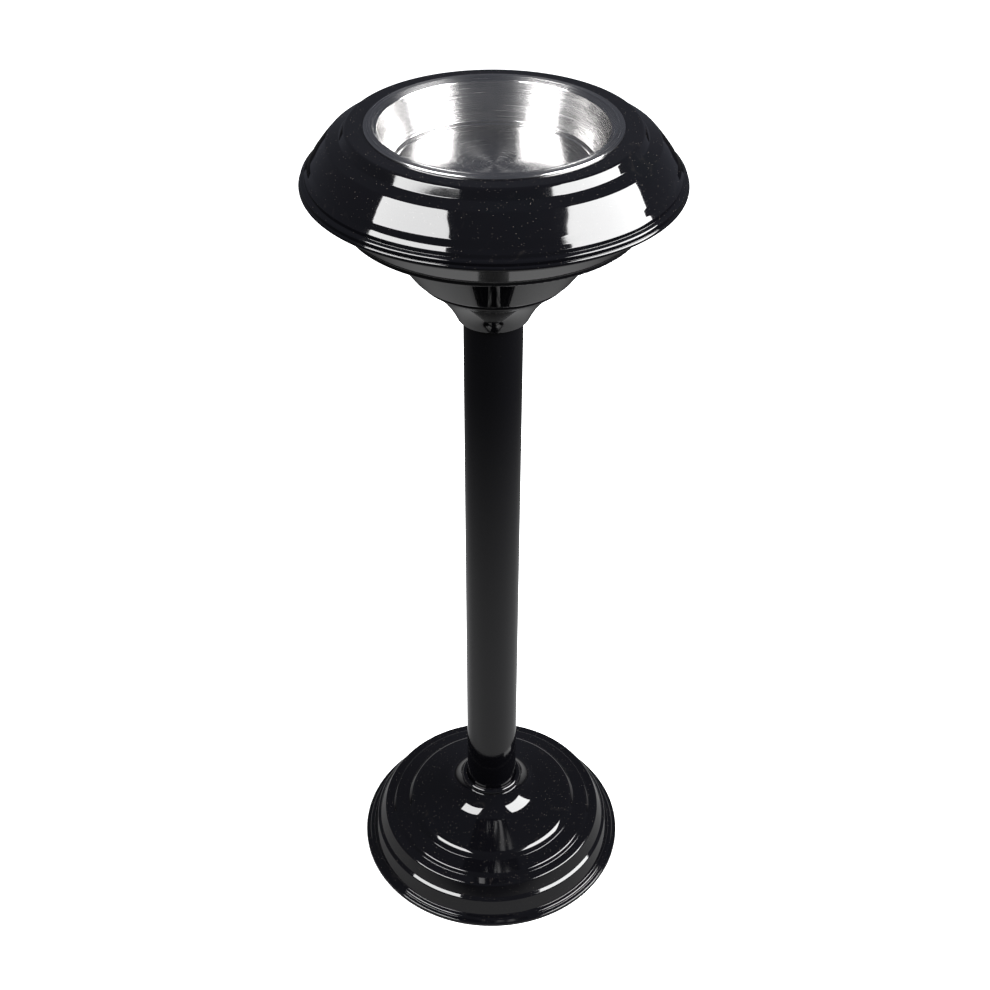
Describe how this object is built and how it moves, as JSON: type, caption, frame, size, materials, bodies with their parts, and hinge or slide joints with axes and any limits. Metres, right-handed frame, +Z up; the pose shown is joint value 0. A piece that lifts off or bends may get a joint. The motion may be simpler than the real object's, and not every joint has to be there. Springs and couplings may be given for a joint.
{
  "type": "standing ashtray",
  "caption": "Floor-standing ashtray: a stepped weighted foot and a slim tube carry a flared head with a loose lift-out ash cup.",
  "frame": {"origin": "on the floor, on the stand's axis, at the centre of the foot", "axes": "+Z up along the axis of the stand; the object is round, so +X and +Y are free"},
  "size_m": [0.2286, 0.2286, 0.6055],
  "materials": {
    "enamel": "gloss black enamel",
    "cup_steel": "brushed stainless steel",
    "zinc": "zinc-plated steel",
    "mill_steel": "plain rolled steel",
    "cast": "rough grey cast iron",
    "plug_plastic": "moulded nylon",
    "pad_rubber": "felt-like foam rubber"
  },
  "bodies": {
    "stand": {"head_cover": "enamel", "upper_bowl": "enamel", "lower_bowl": "enamel", "neck_cone": "enamel", "stem_tube": "enamel", "foot_collar": "enamel", "foot_shell": "enamel", "bowl_rivets": "mill_steel", "top_plate": "mill_steel", "cover_bridge": "mill_steel", "bottom_plate": "mill_steel", "spacer_sleeve": "mill_steel", "base_plate": "mill_steel", "tie_rod": "zinc", "top_washer": "zinc", "top_nut": "zinc", "cover_washer": "zinc", "cover_cap_nut": "zinc", "bottom_washer": "zinc", "spring_washer": "zinc", "bottom_nut": "zinc", "base_screws": "zinc", "foot_ballast": "cast", "lower_plug": "plug_plastic", "upper_plug": "plug_plastic", "base_pad": "pad_rubber"},
    "cup": {"ash_cup": "cup_steel"}
  },
  "joints": [
    {"name": "cup_lift", "type": "slide", "parent": "stand", "child": "cup", "axis": [0, 0, 1], "range_m": [0, 0.08]}
  ]
}
